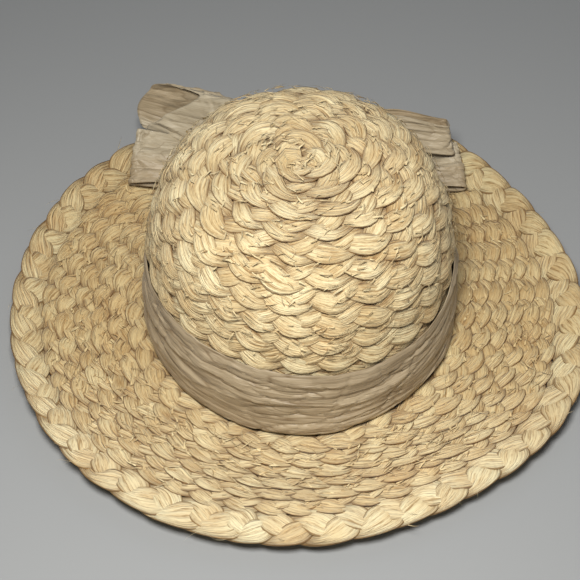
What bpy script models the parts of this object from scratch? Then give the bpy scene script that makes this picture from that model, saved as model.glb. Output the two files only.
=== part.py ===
"""A woven straw sun hat at rest on its brim: crown, brim, plaited rim, ribbon band and a four-loop bow.

Metres, +Z up. The front of the hat faces -Y and the bow is at the back. z = 0 is the surface that the brim
rests on. The pieces are modelled about the crown's own axis, and then the whole hat is placed so that the
origin lies under the middle of the rim's outline.
"""

import math
from collections import namedtuple

import bmesh
import bpy
import numpy as np
from mathutils import Vector

# Clearance between pieces that touch
GAP = 0.0003

# Crown: outer half sizes at its foot, height of its top over the table, wall, and the rows of plait on it
CROWN_HALF_WIDTH = 0.0877
CROWN_HALF_LENGTH = 0.0957
CROWN_HEIGHT = 0.1140
CROWN_WALL = 0.0030
CROWN_ROW_PITCH = 0.0120
CROWN_ROW_STEP = 0.0012
CROWN_SIDE_POWER = 4.5
CROWN_TOP_POWER = 4.3
CROWN_TAPER = 0.052
CROWN_DIVISIONS = 44

# Brim: thickness, flat reach from the crown's foot to the rim's plait, and how far the plait's root is lifted
BRIM_THICKNESS = 0.0045
BRIM_REACH = 0.0560
BRIM_LIFT = 0.0040
BRIM_REST_SHARE = 0.45
BRIM_BEND_BEFORE = 0.0100
BRIM_BEND_AFTER = 0.0080
BRIM_ROW_PITCH = 0.0092
BRIM_ROW_STEP = 0.0010
BRIM_DIVISIONS = 48

# Plait round the rim: width, thickness, length along the rim of one crossing, and depth of its scallops
RIM_WIDTH = 0.0225
RIM_THICKNESS = 0.0062
RIM_CROSSING = 0.0215
RIM_SCALLOP = 0.0014
RIM_POINTS_PER_CROSSING = 3

# Ribbon: its thickness in the band and in the bow, and the band's width and creases
BAND_THICKNESS = 0.0012
BAND_WIDTH = 0.0490
BAND_CLEARANCE = 0.0006
BAND_PLEATS = 4
BAND_PLEAT_DEPTH = 0.0004
BAND_EDGE_WAVE = 0.0038
BAND_DIVISIONS = 52
RIBBON_THICKNESS = 0.0010
RIBBON_RIB_DEPTH = 0.0006

# Bow: half its span, its knot's half sizes and the knot's height over the table
BOW_HALF_SPAN = 0.1020
KNOT_HALF_WIDTH = 0.0090
KNOT_HALF_DEPTH = 0.0085
KNOT_HALF_HEIGHT = 0.0180
KNOT_RISE = 0.0330

# A loop rolled past this angle, in degrees, stands on its edge all the way. Any other leaves the knot on its edge
# and has turned flat by this share of its run.
STANDING_ROLL = 50.0
LOOP_TWIST_END = 0.45

# The least half distance between the two layers of a loop, as a share of the ribbon's thickness
LEAST_HOLLOW = 1.0

# One row for each direction round the hat, in degrees from +X towards +Y. Flat is a share of BRIM_REACH,
# lift is a share of BRIM_LIFT, and turn is how steeply the plait at the rim turns up, in degrees.
BrimStation = namedtuple("BrimStation", "direction flat lift turn")
BRIM_STATIONS = (
    BrimStation(-90, 0.955, 1.75, 4),
    BrimStation(-60, 0.915, 1.50, 8),
    BrimStation(-30, 1.070, 1.00, 22),
    BrimStation(0, 1.000, 1.00, 34),
    BrimStation(30, 0.870, 1.00, 48),
    BrimStation(60, 0.905, 1.00, 58),
    BrimStation(90, 0.960, 1.00, 62),
    BrimStation(120, 0.905, 1.00, 62),
    BrimStation(150, 1.035, 0.75, 52),
    BrimStation(180, 1.075, 0.75, 38),
    BrimStation(210, 1.075, 1.00, 26),
    BrimStation(240, 1.020, 1.50, 10),
)

# The flattened and standing loops of the bow. Side is -1 for left and 1 for right. Reach is a share of
# BOW_HALF_SPAN. Back and rise place the middle of the tip from the knot's middle, width is the ribbon's width
# there, puff is half the height of the hollow and dip lowers the middle of the loop: shares of BOW_HALF_SPAN.
# Root is a share of KNOT_HALF_HEIGHT. Roll turns the ribbon's width up from level and skew swings it, in degrees.
BowLoop = namedtuple("BowLoop", "name side reach back rise width puff dip root roll skew")
BOW_LOOPS = (
    BowLoop("bow_loop_lower_left", -1, 1.000, -0.020, -0.098, 0.345, 0.024, 0.060, -0.52, 35, 9),
    BowLoop("bow_loop_lower_right", 1, 0.970, -0.075, -0.122, 0.300, 0.022, 0.070, -0.52, 25, 7),
    BowLoop("bow_loop_upper_right", 1, 0.880, 0.040, 0.104, 0.305, 0.058, -0.035, 0.45, 71, 12),
)

# The puffed loop, from the knot out to its open mouth. Reach, back and rise place each section's middle from the
# knot's middle, tall is its half height, and near and far are how far its front and back walls lie from that
# middle: shares of BOW_HALF_SPAN. Lean tips its tall axis and turn swings its deep axis, in degrees.
FunnelSection = namedtuple("FunnelSection", "reach back rise tall near far lean turn")
FUNNEL_SECTIONS = (
    FunnelSection(0.092, 0.000, 0.080, 0.060, -0.030, 0.030, 0, 90),
    FunnelSection(0.200, 0.030, 0.100, 0.085, -0.045, 0.045, 4, 96),
    FunnelSection(0.340, 0.080, 0.120, 0.125, -0.075, 0.075, 8, 104),
    FunnelSection(0.500, 0.130, 0.120, 0.155, -0.090, 0.095, 16, 114),
    FunnelSection(0.660, 0.172, 0.100, 0.160, -0.070, 0.115, 26, 126),
    FunnelSection(0.815, 0.200, 0.075, 0.155, -0.005, 0.155, 34, 138),
)


def smooth_step(x):
    x = np.clip(x, 0.0, 1.0)
    return x * x * (3.0 - 2.0 * x)


def material(name, color, roughness):
    made = bpy.data.materials.new(name)
    made.use_nodes = True
    shader = made.node_tree.nodes["Principled BSDF"]
    shader.inputs["Base Color"].default_value = (*color, 1.0)
    shader.inputs["Roughness"].default_value = roughness
    shader.inputs["Metallic"].default_value = 0.0
    return made


def finish_piece(name, mesh, collection, finish, smooth_angle=40.0):
    for polygon in mesh.polygons:
        polygon.use_smooth = True
    mesh.set_sharp_from_angle(angle=math.radians(smooth_angle))
    mesh.materials.append(finish)
    piece = bpy.data.objects.new(name, mesh)
    collection.objects.link(piece)
    return piece


def add_wall(piece, thickness):
    wall = piece.modifiers.new("wall", "SOLIDIFY")
    wall.thickness = thickness
    wall.offset = 0.0


def closed_ring(name, sections):
    """A mesh from closed sections, each joined to the next and the last to the first."""
    form = bmesh.new()
    rings = [[form.verts.new(point) for point in section] for section in sections]
    for here, after in zip(rings, rings[1:] + rings[:1]):
        for i in range(len(here)):
            j = (i + 1) % len(here)
            form.faces.new((here[i], after[i], after[j], here[j]))
    bmesh.ops.recalc_face_normals(form, faces=form.faces[:])
    mesh = bpy.data.meshes.new(name)
    form.to_mesh(mesh)
    form.free()
    return mesh


def directions(count):
    return [2.0 * math.pi * i / count for i in range(count)]


def crown_share(z):
    """How wide the crown is at height z, as a share of its half width and half length."""
    rise = z / CROWN_HEIGHT
    return (1.0 - rise**CROWN_SIDE_POWER) ** (1.0 / CROWN_TOP_POWER) * (1.0 - CROWN_TAPER * rise)


def outward(direction):
    """The level normal of the crown's oval plan."""
    return Vector(
        (CROWN_HALF_LENGTH * math.cos(direction), CROWN_HALF_WIDTH * math.sin(direction), 0.0)
    ).normalized()


def crown_point(direction, z, clearance):
    share = crown_share(z)
    foot = Vector(
        (
            CROWN_HALF_WIDTH * share * math.cos(direction),
            CROWN_HALF_LENGTH * share * math.sin(direction),
            z,
        )
    )
    return foot + clearance * outward(direction)


def crown_curve(bottom):
    """The crown's smooth profile from its top to its bottom edge: distance run, radius, height and normals."""
    walk = np.linspace(0.0, 1.0, 1500)
    angle = 0.5 * math.pi * walk**3 / (walk**3 + (1.0 - walk) ** 3)
    height = CROWN_HEIGHT * np.cos(angle) ** (2.0 / CROWN_SIDE_POWER)
    radius = CROWN_HALF_WIDTH * np.sin(angle) ** (2.0 / CROWN_TOP_POWER)
    radius = radius * (1.0 - CROWN_TAPER * height / CROWN_HEIGHT)
    kept = height >= bottom
    height = np.append(height[kept], bottom)
    radius = np.append(radius[kept], CROWN_HALF_WIDTH * crown_share(bottom))
    run = np.concatenate(([0.0], np.cumsum(np.hypot(np.diff(radius), np.diff(height)))))
    along_r = np.gradient(radius, run)
    along_z = np.gradient(height, run)
    length = np.hypot(along_r, along_z)
    return run, radius, height, -along_z / length, along_r / length


def make_crown(collection, finish):
    """The crown's wall as a closed profile, turned about the Z axis and drawn out to its oval plan."""
    bottom = BRIM_THICKNESS + GAP
    run, radius, height, normal_r, normal_z = crown_curve(bottom)

    def at(distance, offset):
        r = np.interp(distance, run, radius) + offset * np.interp(distance, run, normal_r)
        z = np.interp(distance, run, height) + offset * np.interp(distance, run, normal_z)
        return float(max(r, 0.0)), float(z)

    rows = round(run[-1] / CROWN_ROW_PITCH)
    pitch = run[-1] / rows
    tuck = 0.07 * pitch
    profile = [(0.0, CROWN_HEIGHT + 0.5 * CROWN_ROW_STEP)]
    for row in range(rows):
        if row:
            profile.append(at(row * pitch + tuck, 0.0))
        profile.append(at((row + 1) * pitch, CROWN_ROW_STEP))
    profile[-1] = (profile[-1][0], bottom)
    inner_rows = rows * 2 // 3
    for row in range(inner_rows, 0, -1):
        profile.append(at(run[-1] * row / inner_rows, -CROWN_WALL))
    profile[-inner_rows] = (profile[-inner_rows][0], bottom)
    profile.append((0.0, CROWN_HEIGHT - CROWN_WALL))

    mesh = bpy.data.meshes.new("crown")
    mesh.from_pydata(
        [(r, 0.0, z) for r, z in profile], [(i, i + 1) for i in range(len(profile) - 1)], []
    )
    mesh.materials.append(finish)
    piece = bpy.data.objects.new("crown", mesh)
    collection.objects.link(piece)
    piece.scale = (1.0, CROWN_HALF_LENGTH / CROWN_HALF_WIDTH, 1.0)
    turn = piece.modifiers.new("turn", "SCREW")
    turn.steps = CROWN_DIVISIONS
    turn.render_steps = CROWN_DIVISIONS
    turn.use_merge_vertices = True
    turn.merge_threshold = 0.00005
    turn.use_smooth_shade = True
    return piece


def around(direction, column):
    """A column of the brim's table at any direction, on a smooth closed curve through its rows."""
    values = [getattr(station, column) for station in BRIM_STATIONS]
    count = len(values)
    place = (math.degrees(direction) - BRIM_STATIONS[0].direction) % 360.0 * count / 360.0
    first = int(place)
    t = place - first
    before, here, after, beyond = (values[(first + k) % count] for k in (-1, 0, 1, 2))
    return here + 0.5 * t * (
        after - before
        + t * (2 * before - 5 * here + 4 * after - beyond + t * (3 * (here - after) + beyond - before))
    )


def brim_section(direction):
    """A function that places a point by its distance out from the crown's foot and its height over the
    underside, in one direction, and the distance at which the rim's plait begins."""
    flat = BRIM_REACH * around(direction, "flat")
    lift = BRIM_LIFT * around(direction, "lift")
    turn = math.radians(around(direction, "turn"))
    out = np.linspace(-CROWN_WALL, flat + RIM_WIDTH, 160)
    bend = (out - (flat - BRIM_BEND_BEFORE)) / (BRIM_BEND_BEFORE + BRIM_BEND_AFTER)
    slope = turn * smooth_step(bend)
    middle = 0.5 * (slope[1:] + slope[:-1])
    step = out[1] - out[0]
    reach = out[0] + np.concatenate(([0.0], np.cumsum(np.cos(middle) * step)))
    rise = np.concatenate(([0.0], np.cumsum(np.sin(middle) * step)))
    rise = rise + lift * smooth_step((out / flat - BRIM_REST_SHARE) / (1.0 - BRIM_REST_SHARE))
    steep = np.arctan2(np.gradient(rise), np.gradient(reach))
    foot = Vector((CROWN_HALF_WIDTH * math.cos(direction), CROWN_HALF_LENGTH * math.sin(direction), 0.0))
    away = outward(direction)

    def place(distance, height):
        angle = float(np.interp(distance, out, steep))
        plan = float(np.interp(distance, out, reach)) - height * math.sin(angle)
        up = float(np.interp(distance, out, rise)) + height * math.cos(angle)
        return foot + plan * away + Vector((0.0, 0.0, up))

    return place, flat


def make_brim(collection, finish):
    """The brim: a flat seat under the crown and out to where it lifts, with its rows stepped on the top."""
    rows = round(BRIM_REACH / BRIM_ROW_PITCH)
    under = (0.0, 0.15, 0.30, BRIM_REST_SHARE, 0.60, 0.74, 0.87, 1.0)
    sections = []
    for direction in directions(BRIM_DIVISIONS):
        place, flat = brim_section(direction)
        pitch = flat / rows
        section = [place(-CROWN_WALL, 0.0)]
        section += [place(flat * share, 0.0) for share in under]
        for row in range(rows, 0, -1):
            section.append(place(row * pitch, BRIM_THICKNESS + BRIM_ROW_STEP))
            section.append(place((row - 1) * pitch + 0.2 * pitch, BRIM_THICKNESS))
        section.append(place(-CROWN_WALL, BRIM_THICKNESS))
        sections.append(section)
    return finish_piece("brim", closed_ring("brim", sections), collection, finish, 30.0)


def make_rim_braid(collection, finish):
    """The plait at the brim's edge: an inner and an outer row of crossings, half a crossing apart."""
    around_length = 2.0 * math.pi * (
        0.5 * (CROWN_HALF_WIDTH + CROWN_HALF_LENGTH) + BRIM_REACH + 0.5 * RIM_WIDTH
    )
    crossings = round(around_length / RIM_CROSSING)
    half = 0.5 * RIM_THICKNESS
    middle = 0.5 * BRIM_THICKNESS
    width = RIM_WIDTH - GAP
    sections = []
    for i, direction in enumerate(directions(crossings * RIM_POINTS_PER_CROSSING)):
        place, flat = brim_section(direction)
        swell = math.cos(2.0 * math.pi * i / RIM_POINTS_PER_CROSSING)
        inner_bulge = 0.80 + 0.20 * swell
        outer_bulge = 0.80 - 0.20 * swell
        root = flat + GAP
        edge = flat + RIM_WIDTH - RIM_SCALLOP * (0.5 + 0.5 * swell)
        sections.append(
            [
                place(root, middle - 0.50 * half),
                place(root + 0.28 * width, middle - 0.85 * half),
                place(root + 0.74 * width, middle - 0.85 * half),
                place(edge, middle - 0.30 * half),
                place(edge, middle + 0.30 * half),
                place(root + 0.74 * width, middle + half * outer_bulge),
                place(root + 0.52 * width, middle + 0.55 * half),
                place(root + 0.28 * width, middle + half * inner_bulge),
                place(root, middle + 0.55 * half),
            ]
        )
    return finish_piece("rim_braid", closed_ring("rim_braid", sections), collection, finish, 60.0)


def outline_middle():
    """The middle of the rim's outline, seen from above and measured from the crown's axis."""
    edge = []
    for direction in directions(BRIM_DIVISIONS * RIM_POINTS_PER_CROSSING):
        place, flat = brim_section(direction)
        edge.append(place(flat + RIM_WIDTH, 0.5 * BRIM_THICKNESS))
    across = [point.x for point in edge]
    along = [point.y for point in edge]
    return Vector((0.5 * (min(across) + max(across)), 0.5 * (min(along) + max(along)), 0.0))


def band_bottom():
    return BRIM_THICKNESS + BRIM_ROW_STEP + GAP


def band_clearance():
    """How far the band's inside stands off the crown's smooth profile, past the rows' proud edges."""
    return CROWN_ROW_STEP * CROWN_HALF_LENGTH / CROWN_HALF_WIDTH + BAND_CLEARANCE


def make_band(collection, finish):
    """The ribbon round the crown's foot: lengthwise pleats and an upper edge that wanders."""
    inside = band_clearance()
    low = band_bottom()
    outer_points = 2 * BAND_PLEATS + 1
    inner_points = 5
    sections = []
    for direction in directions(BAND_DIVISIONS):
        high = low + BAND_WIDTH - BAND_EDGE_WAVE * math.sin(2.0 * direction + math.radians(174.0))
        section = []
        for i in range(outer_points):
            share = i / (outer_points - 1)
            pleat = math.cos(2.0 * math.pi * BAND_PLEATS * share + 1.5 * math.sin(2.0 * direction))
            proud = inside + BAND_THICKNESS + BAND_PLEAT_DEPTH * pleat
            section.append(crown_point(direction, low + (high - low) * share, proud))
        for i in range(inner_points - 1, -1, -1):
            share = i / (inner_points - 1)
            section.append(crown_point(direction, low + (high - low) * share, inside))
        sections.append(section)
    return finish_piece("band", closed_ring("band", sections), collection, finish, 35.0)


def knot_middle():
    back = crown_point(0.5 * math.pi, KNOT_RISE, band_clearance() + BAND_THICKNESS + BAND_PLEAT_DEPTH)
    return Vector((0.0, back.y + GAP + KNOT_HALF_DEPTH, KNOT_RISE))


def make_knot(collection, finish):
    """A short wrap of ribbon round the middle of the bow, with folds running up it."""
    form = bmesh.new()
    bmesh.ops.create_uvsphere(form, u_segments=20, v_segments=10, radius=1.0)
    middle = knot_middle()
    squareness = 0.55
    for vert in form.verts:
        x, y, z = (math.copysign(abs(c) ** squareness, c) for c in vert.co)
        size = (abs(x) ** 4 + abs(y) ** 4 + abs(z) ** 4) ** 0.25
        fold = 1.0 - 0.05 * (0.5 + 0.5 * math.cos(5.0 * math.atan2(y, x)))
        vert.co = middle + Vector(
            (
                KNOT_HALF_WIDTH * x / size * fold,
                KNOT_HALF_DEPTH * y / size * fold,
                KNOT_HALF_HEIGHT * z / size,
            )
        )
    mesh = bpy.data.meshes.new("bow_knot")
    form.to_mesh(mesh)
    form.free()
    return finish_piece("bow_knot", mesh, collection, finish)


def loop_point(loop, path, across):
    """A point of a flat loop. Path runs from 0 at the knot, round the tip at 0.5, to 1 at the knot again, and
    across runs over the ribbon's width from -1 to 1."""
    middle = knot_middle()
    root = middle + Vector(
        (loop.side * (KNOT_HALF_WIDTH + GAP), 0.0, loop.root * KNOT_HALF_HEIGHT)
    )
    tip = middle + BOW_HALF_SPAN * Vector((0.0, loop.back, loop.rise))
    tip.x = loop.side * BOW_HALF_SPAN * loop.reach
    turned = 1.0 - 2.0 * path
    run = 1.0 - turned * turned * abs(turned) ** 0.4
    opening = abs(math.sin(math.pi * min(1.0, abs(turned) ** 0.6))) ** 0.7
    root_width = 0.30 * KNOT_HALF_HEIGHT
    spread = float(smooth_step(run / 0.75))
    half_width = root_width + (0.5 * loop.width * BOW_HALF_SPAN - root_width) * spread
    skew = math.radians(loop.skew) * spread
    if loop.roll > STANDING_ROLL:
        roll = math.radians(90.0 + (loop.roll - 90.0) * spread)
        swing = math.sin(skew) * math.sin(roll)
    else:
        twisted = float(smooth_step(run / LOOP_TWIST_END))
        roll = math.radians(90.0 * (1.0 - twisted) + loop.roll * run**3)
        swing = math.sin(skew)
    wide = Vector((-loop.side * swing, math.cos(roll), math.sin(roll))).normalized()
    along = (tip - root).normalized()
    thick = along.cross(wide).normalized() * loop.side
    least = LEAST_HOLLOW * RIBBON_THICKNESS
    puff = (loop.puff * BOW_HALF_SPAN - least) * float(smooth_step(run / 0.5))
    rib = RIBBON_RIB_DEPTH * math.cos(3.0 * math.pi * across) * float(smooth_step(run / 0.5)) * (1.0 - 0.5 * run)
    half_hollow = least * min(1.0, abs(turned) / 0.12) + (puff + rib) * opening
    dip = Vector((0.0, 0.0, -loop.dip * BOW_HALF_SPAN * math.sin(math.pi * run)))
    return root.lerp(tip, run) + dip + wide * (across * half_width) + thick * math.copysign(half_hollow, turned)


def make_loop(loop, collection, finish):
    """One loop of the bow: a ribbon that leaves the knot, turns at the tip and comes back to the knot."""
    path_steps, across_steps = 19, 6
    form = bmesh.new()
    bmesh.ops.create_grid(form, x_segments=path_steps, y_segments=across_steps, size=0.5)
    for vert in form.verts:
        vert.co = loop_point(loop, vert.co.x + 0.5, 2.0 * vert.co.y)
    mesh = bpy.data.meshes.new(loop.name)
    form.to_mesh(mesh)
    form.free()
    piece = finish_piece(loop.name, mesh, collection, finish)
    add_wall(piece, RIBBON_THICKNESS)
    return piece


def make_funnel_loop(collection, finish):
    """The puffed loop: an open funnel of crumpled ribbon, narrow at the knot."""
    middle = knot_middle()
    sides = 16
    form = bmesh.new()
    rings = []
    for section in FUNNEL_SECTIONS:
        lean = math.radians(section.lean)
        turn = math.radians(section.turn)
        centre = middle + BOW_HALF_SPAN * Vector((-section.reach, section.back, section.rise))
        tall = Vector((math.sin(lean), 0.15 * math.sin(lean), math.cos(lean))).normalized()
        deep = Vector((math.cos(turn), math.sin(turn), 0.0))
        deep = (deep - tall * deep.dot(tall)).normalized()
        middle_share = 0.5 * (section.far + section.near)
        half_share = 0.5 * (section.far - section.near)
        crumple = 0.10 * section.reach
        ring = []
        for i in range(sides):
            angle = 2.0 * math.pi * i / sides
            fold = 1.0 + crumple * math.cos(4.0 * angle + 5.0 * section.reach)
            ring.append(
                form.verts.new(
                    centre
                    + tall * (section.tall * BOW_HALF_SPAN * math.cos(angle) * fold)
                    + deep * (BOW_HALF_SPAN * (middle_share + half_share * math.sin(angle) * fold))
                )
            )
        rings.append(ring)
    for here, after in zip(rings, rings[1:]):
        for i in range(sides):
            j = (i + 1) % sides
            form.faces.new((here[i], here[j], after[j], after[i]))
    mesh = bpy.data.meshes.new("bow_loop_upper_left")
    form.to_mesh(mesh)
    form.free()
    piece = finish_piece("bow_loop_upper_left", mesh, collection, finish)
    add_wall(piece, RIBBON_THICKNESS)
    return piece


def main():
    for old in list(bpy.data.objects):
        bpy.data.objects.remove(old, do_unlink=True)
    collection = bpy.data.collections.new("straw hat")
    bpy.context.scene.collection.children.link(collection)
    crown_straw = material("crown straw", (0.80, 0.66, 0.40), 0.65)
    brim_straw = material("brim straw", (0.74, 0.58, 0.33), 0.68)
    rim_straw = material("rim straw", (0.80, 0.65, 0.38), 0.62)
    band_ribbon = material("band ribbon", (0.60, 0.49, 0.34), 0.55)
    bow_ribbon = material("bow ribbon", (0.68, 0.60, 0.46), 0.55)
    make_crown(collection, crown_straw)
    make_brim(collection, brim_straw)
    make_rim_braid(collection, rim_straw)
    make_band(collection, band_ribbon)
    make_knot(collection, bow_ribbon)
    for loop in BOW_LOOPS:
        make_loop(loop, collection, bow_ribbon)
    make_funnel_loop(collection, bow_ribbon)
    hat = bpy.data.objects.new("hat", None)
    collection.objects.link(hat)
    for piece in [piece for piece in collection.objects if piece.type == "MESH"]:
        piece.parent = hat
    hat.location = -outline_middle()


main()
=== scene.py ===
"""The straw hat, dressed: plaited crown, brim and rim, creased ribbon band and its bow."""

import math

import bpy
import numpy as np
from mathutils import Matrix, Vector


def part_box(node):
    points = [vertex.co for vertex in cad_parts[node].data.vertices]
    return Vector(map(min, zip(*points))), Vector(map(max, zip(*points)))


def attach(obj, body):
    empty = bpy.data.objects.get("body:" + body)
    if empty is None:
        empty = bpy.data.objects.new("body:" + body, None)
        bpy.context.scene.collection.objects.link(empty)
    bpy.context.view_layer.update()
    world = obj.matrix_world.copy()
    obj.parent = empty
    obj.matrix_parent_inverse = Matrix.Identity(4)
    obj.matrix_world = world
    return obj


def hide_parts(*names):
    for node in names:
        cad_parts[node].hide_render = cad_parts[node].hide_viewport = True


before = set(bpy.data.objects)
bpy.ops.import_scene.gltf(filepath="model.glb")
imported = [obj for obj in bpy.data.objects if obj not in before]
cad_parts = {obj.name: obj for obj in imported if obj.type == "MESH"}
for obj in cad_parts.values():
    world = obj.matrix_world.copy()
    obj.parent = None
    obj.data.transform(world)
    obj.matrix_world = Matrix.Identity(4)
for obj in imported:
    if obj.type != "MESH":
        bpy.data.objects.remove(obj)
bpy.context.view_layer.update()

# The hat's own sizes, as its solids have them: lengths in metres, and plain shares and powers
CROWN_HALF_WIDTH = 0.0877
CROWN_HALF_LENGTH = 0.0957
CROWN_HEIGHT = 0.1140
CROWN_WALL = 0.0030
CROWN_SIDE_POWER = 4.5
CROWN_TOP_POWER = 4.3
CROWN_TAPER = 0.052
BRIM_REACH = 0.0560
BRIM_LIFT = 0.0040
BRIM_REST_SHARE = 0.45
BRIM_BEND_BEFORE = 0.0100
BRIM_BEND_AFTER = 0.0080
RIM_WIDTH = 0.0225
BAND_LOW = 0.0058
BAND_WIDTH = 0.0490
BAND_EDGE_WAVE = 0.0038
BOW_HALF_SPAN = 0.1020
KNOT_HALF_WIDTH = 0.0090
KNOT_HALF_DEPTH = 0.0085
KNOT_HALF_HEIGHT = 0.0180
KNOT_RISE = 0.0330

# The brim every 30 degrees from the front round by +X: flat and lift are shares, turn is in degrees
BRIM_FLAT = (0.955, 0.915, 1.07, 1.0, 0.87, 0.905, 0.96, 0.905, 1.035, 1.075, 1.075, 1.02)
BRIM_LIFTS = (1.75, 1.5, 1.0, 1.0, 1.0, 1.0, 1.0, 1.0, 0.75, 0.75, 1.0, 1.5)
BRIM_TURN = (4, 8, 22, 34, 48, 58, 62, 62, 52, 38, 26, 10)

# Strands of each plait: lengths in metres, then how finely a period and a strand's girth are divided
CROWN_STRANDS = dict(
    period=0.066, spread=0.0050, width=0.0108, thick=0.0012, rise=0.0008, lean=0.0021, steps=22, around=14
)
MIDDLE_STRANDS = dict(
    period=0.030, spread=0.0030, width=0.0070, thick=0.0018, rise=0.0008, lean=0.0, steps=18, around=12
)
BRIM_STRANDS = dict(
    period=0.050, spread=0.0042, width=0.0108, thick=0.0011, rise=0.0008, lean=0.0018, steps=16, around=14
)
RIM_STRANDS = dict(
    period=0.061, spread=0.0060, width=0.0150, thick=0.0013, rise=0.0009, lean=0.0, steps=30, around=20,
    square=0.0,
)

# A strand's leaf: its breadth as a share of its width, how much that swells on top, and how early, in radians
LEAF_BREADTH = 0.77
LEAF_SWELL = 0.28
LEAF_LEAD = 0.15
INNER_EDGE_LEAN = 0.35
# Furrows along a strand: how many round it, their depth as a share of its thickness, and how they wander
FURROWS = ((7.0, 0.30, 4.0, 4.0), (5.0, 0.22, -5.0, 0.0))

# Where the plaits lie: over the crown's outside, and over the underside of the brim
CROWN_PITCH = 0.0120
CROWN_START = 0.0008
CROWN_SPIRAL_TURN = 1.1
CROWN_LAST_ROW = 0.0068
CROWN_SINK = 0.0016
CROWN_HELD_FLAT = 0.45
CROWN_HELD_SINK = 0.0002
CROWN_WAVER = 0.0006
MIDDLE_SINK = 0.0022
MIDDLE_LENGTH = 0.0220
BRIM_ROWS = 6
BRIM_FIRST_ROW = 0.53
BRIM_ROW_HEIGHT = 0.0019
RIM_ROW_HEIGHT = 0.00225
RIM_HALF_PLAIT = 0.0126
RIM_FLATTENING = 0.0092

# The band over the crown's outside, and the dip of its upper edge at the front
BAND_CLEARANCE = 0.0012
BAND_HUG = 0.0004
BAND_FRONT_DIP = 0.0050
BAND_DIP_TURN = 0.62
BAND_DIP_REACH = 0.85
BAND_DIP_EASE = 0.60
BAND_GIRTH = 0.576
RIBBON_WALL = 0.0005
FLOOR_GAP = 0.0001
WELD_REACH = 0.00001
NOISE_CELLS = 64
TAU = 2.0 * math.pi

# The crown stands on this vertical line
low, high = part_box("crown")
AXIS = Vector((0.5 * (low.x + high.x), 0.5 * (low.y + high.y), 0.0))


# Curves and noise


def smooth_step(x):
    x = np.clip(x, 0.0, 1.0)
    return x * x * (3.0 - 2.0 * x)


def unit(v):
    """Vectors brought to length 1."""
    return v / np.maximum(np.linalg.norm(v, axis=-1, keepdims=True), 1e-12)


def wander(x, seed):
    """A smooth wandering value about 0 along x, which turns about once per unit."""
    value = np.zeros_like(np.asarray(x, float))
    rng = np.random.default_rng(seed)
    for octave in range(3):
        turn = rng.uniform(0.0, TAU, 2)
        rate = rng.uniform(0.8, 1.3, 2)
        for k in range(2):
            value = value + np.sin(TAU * x * rate[k] * 1.9**octave + turn[k]) / 1.7**octave
    return value / 2.4


def periodic_wander(share, turns, seed):
    """A smooth wandering value about 0 that closes on itself as share goes from 0 to 1."""
    rng = np.random.default_rng(seed)
    values = rng.uniform(-1.0, 1.0, turns)
    place = share * turns
    first = np.floor(place).astype(int)
    t = smooth_step(place - first)
    return values[first % turns] * (1 - t) + values[(first + 1) % turns] * t


def noise_grid(x, y, seed, repeat=NOISE_CELLS):
    """Smooth value noise from -1 to 1 over two coordinates, one cell to a unit, that repeats along x."""
    rng = np.random.default_rng(seed)
    table = rng.uniform(-1.0, 1.0, (repeat, NOISE_CELLS))
    x0 = np.floor(x).astype(int)
    y0 = np.floor(y).astype(int)
    fx = smooth_step(x - x0)
    fy = smooth_step(y - y0)

    def corner(i, j):
        return table[i % repeat, j % NOISE_CELLS]

    near = corner(x0, y0) * (1 - fx) + corner(x0 + 1, y0) * fx
    far = corner(x0, y0 + 1) * (1 - fx) + corner(x0 + 1, y0 + 1) * fx
    return near * (1 - fy) + far * fy


# Surfaces of the hat: each takes arrays of direction, distance and height over the surface


def crown_profile():
    """The crown's side from its top to its foot: run, radius, height and the normal's two parts."""
    walk = np.linspace(0.0, 1.0, 1500)
    angle = 0.5 * math.pi * walk**3 / (walk**3 + (1.0 - walk) ** 3)
    height = CROWN_HEIGHT * np.cos(angle) ** (2.0 / CROWN_SIDE_POWER)
    radius = CROWN_HALF_WIDTH * np.sin(angle) ** (2.0 / CROWN_TOP_POWER)
    radius = radius * (1.0 - CROWN_TAPER * height / CROWN_HEIGHT)
    run = np.concatenate(([0.0], np.cumsum(np.hypot(np.diff(radius), np.diff(height)))))
    along_r = np.gradient(radius, run)
    along_z = np.gradient(height, run)
    length = np.hypot(along_r, along_z)
    return run, radius, height, -along_z / length, along_r / length


RUN, RADIUS, HEIGHT, NORMAL_R, NORMAL_Z = crown_profile()
OVAL = CROWN_HALF_LENGTH / CROWN_HALF_WIDTH


def run_at(height):
    """How far down the crown's side a height above the floor lies."""
    return np.interp(-height, -HEIGHT, RUN)


def crown_point(direction, distance, height):
    """Distance runs down from the crown's top."""
    distance = np.abs(distance)
    radius = np.interp(distance, RUN, RADIUS)
    over_r = height * np.interp(distance, RUN, NORMAL_R)
    z = np.interp(distance, RUN, HEIGHT) + height * np.interp(distance, RUN, NORMAL_Z)
    x = radius * np.cos(direction)
    y = radius * OVAL * np.sin(direction)
    out_x = OVAL * np.cos(direction)
    out_y = np.sin(direction)
    size = np.hypot(out_x, out_y)
    return np.stack([x + over_r * out_x / size, y + over_r * out_y / size, z], -1)


def station(values, direction):
    """A smooth closed curve through the brim's values at any direction, in radians from +X."""
    place = np.mod(np.degrees(direction) + 90.0, 360.0) / 30.0
    first = np.floor(place).astype(int)
    t = place - first
    table = np.array(values, float)
    before, here, after, beyond = (table[(first + k) % 12] for k in (-1, 0, 1, 2))
    return here + 0.5 * t * (
        after - before
        + t * (2 * before - 5 * here + 4 * after - beyond + t * (3 * (here - after) + beyond - before))
    )


def brim_flat(direction):
    """How far the brim reaches before its rim."""
    return BRIM_REACH * station(BRIM_FLAT, direction)


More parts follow.
